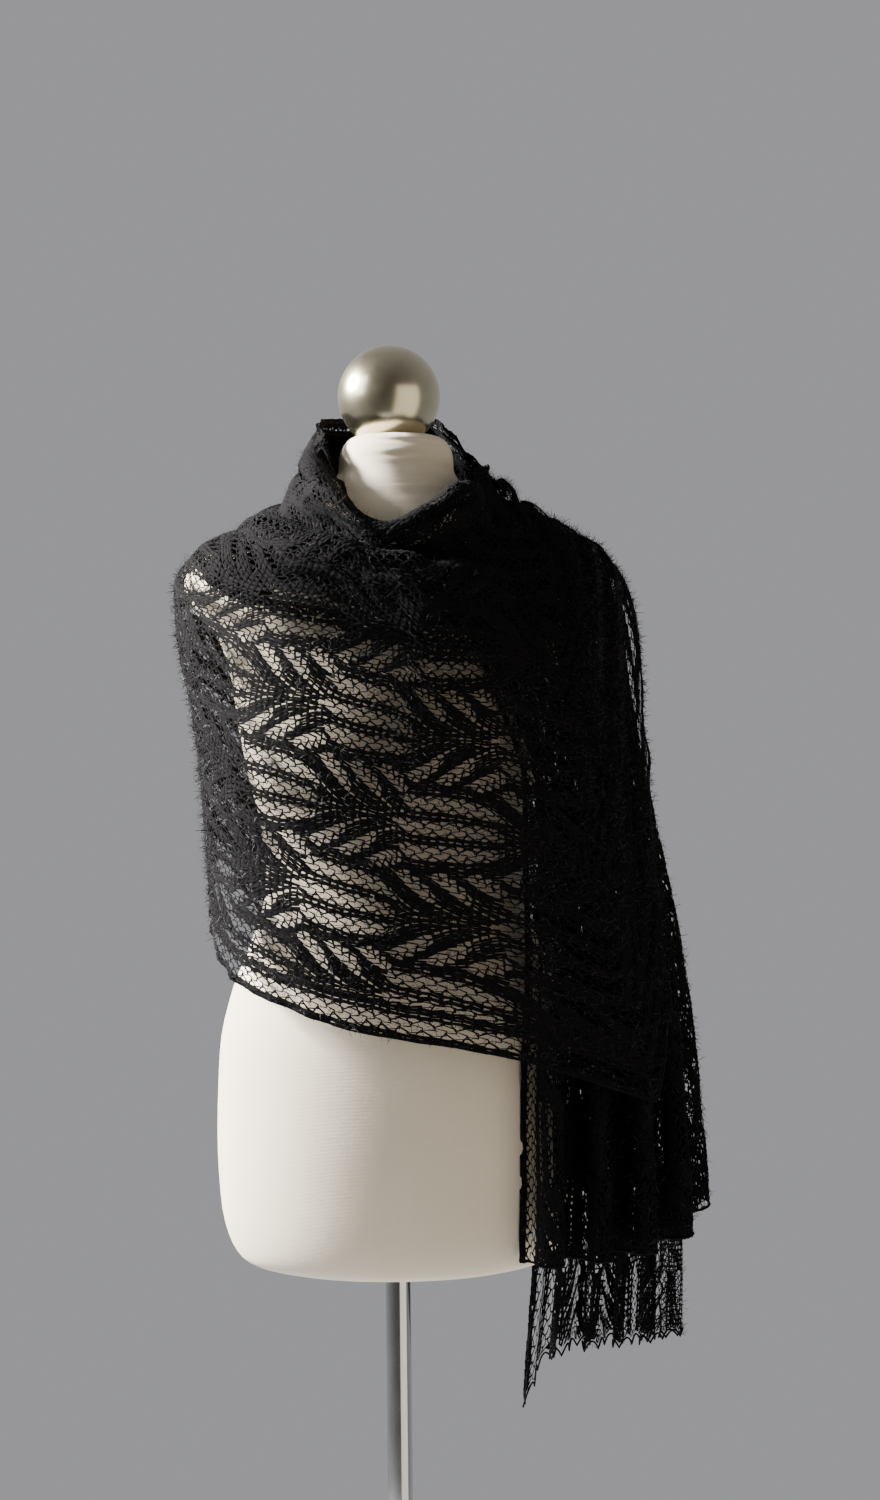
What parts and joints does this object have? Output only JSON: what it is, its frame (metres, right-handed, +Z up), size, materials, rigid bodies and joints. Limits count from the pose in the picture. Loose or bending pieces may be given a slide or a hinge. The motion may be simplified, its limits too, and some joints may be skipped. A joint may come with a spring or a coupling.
{
  "type": "lace shawl on a dress form",
  "caption": "Long knitted lace shawl wrapped over the shoulders of a limbless dress form with a ball finial, on a pole and round base.",
  "frame": {"origin": "centre of the base's underside, on the floor under the pole", "axes": "+Z up along the pole, -Y the front of the form, +X the side the shawl's two ends hang on"},
  "size_m": [0.4892, 0.32, 1.572],
  "materials": {
    "polished_chrome": "polished",
    "satin_nickel": "satin, warm",
    "cream_jersey": "smooth knitted jersey, matt",
    "black_lace": "fine mohair lace, soft halo"
  },
  "bodies": {
    "root": {"base_disc": "polished_chrome", "base_collar": "polished_chrome", "pole": "polished_chrome", "dress_form": "cream_jersey", "ball_finial": "satin_nickel", "shawl_near_end": "black_lace", "shawl_near_shoulder": "black_lace", "shawl_back_panel": "black_lace", "shawl_left_shoulder": "black_lace", "shawl_front_wrap": "black_lace", "shawl_far_shoulder": "black_lace", "shawl_far_end": "black_lace"}
  },
  "joints": []
}
